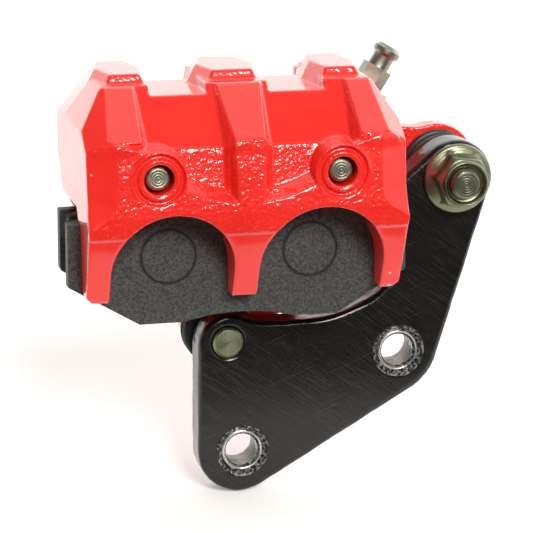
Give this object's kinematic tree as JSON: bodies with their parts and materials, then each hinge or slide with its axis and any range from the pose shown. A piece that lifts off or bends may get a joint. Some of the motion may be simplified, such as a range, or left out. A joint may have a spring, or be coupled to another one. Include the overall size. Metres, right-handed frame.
{
  "type": "brake caliper",
  "caption": "Floating disc brake caliper: ribbed red cast body over a disc slot, black brake pads, dark bracket on booted guide pins, angled bleed screw.",
  "frame": {"origin": "half way between the piston axes, on the middle plane of the brake disc", "axes": "+X along the disc's rim towards the bracket's nut, +Y along the wheel axle from the outboard to the inboard side, +Z away from the wheel centre"},
  "size_m": [0.1145, 0.0619, 0.1127],
  "materials": {
    "red_paint": "gloss",
    "bracket_black": "satin",
    "zinc_yellow": "satin",
    "bleed_steel": "satin",
    "pad_backing": "matte",
    "friction": "matte",
    "boot_rubber": "satin",
    "seal_rubber": "matte",
    "piston_aluminium": "satin",
    "spring_steel": "satin"
  },
  "bodies": {
    "bracket": {"bracket": "bracket_black", "upper_guide_pin": "zinc_yellow", "lower_guide_pin": "zinc_yellow", "flange_nut": "zinc_yellow"},
    "caliper": {"caliper_body": "red_paint", "piston_seal_left": "seal_rubber", "piston_seal_right": "seal_rubber", "dust_seal_left": "seal_rubber", "dust_seal_right": "seal_rubber", "pad_pin_left": "zinc_yellow", "pad_pin_right": "zinc_yellow", "pad_spring": "spring_steel", "upper_boot": "boot_rubber", "lower_boot": "boot_rubber"},
    "bleed_screw": {"bleed_screw": "bleed_steel"},
    "inner_pad": {"inner_pad_plate": "pad_backing", "inner_pad_friction": "friction", "pad_shim": "spring_steel"},
    "outer_pad": {"outer_pad_plate": "pad_backing", "outer_pad_friction": "friction"},
    "piston_left": {"piston_left": "piston_aluminium"},
    "piston_right": {"piston_right": "piston_aluminium"}
  },
  "joints": [
    {"name": "caliper_slide", "type": "slide", "parent": "bracket", "child": "caliper", "axis": [0, 1, 0], "range_m": [-0.001, 0.005], "deforming": ["upper_boot", "lower_boot"]},
    {"name": "inner_pad_slide", "type": "slide", "parent": "caliper", "child": "inner_pad", "axis": [0, -1, 0], "range_m": [0, 0.0033]},
    {"name": "piston_left_slide", "type": "slide", "parent": "caliper", "child": "piston_left", "axis": [0, -1, 0], "range_m": [0, 0.0034]},
    {"name": "piston_right_slide", "type": "slide", "parent": "caliper", "child": "piston_right", "axis": [0, -1, 0], "range_m": [0, 0.0034]},
    {"name": "outer_pad_slide", "type": "slide", "parent": "caliper", "child": "outer_pad", "axis": [0, 1, 0], "range_m": [0, 0.0011]},
    {"name": "bleed_turn", "type": "hinge", "parent": "caliper", "child": "bleed_screw", "pos_m": [0.0471, 0.031, 0.0377], "axis": [0.518, 0, 0.8554], "range_deg": [0, 180]}
  ],
  "couplings": [
    {"joint": "piston_left_slide", "follows": "inner_pad_slide", "ratio": 1},
    {"joint": "piston_right_slide", "follows": "inner_pad_slide", "ratio": 1}
  ]
}
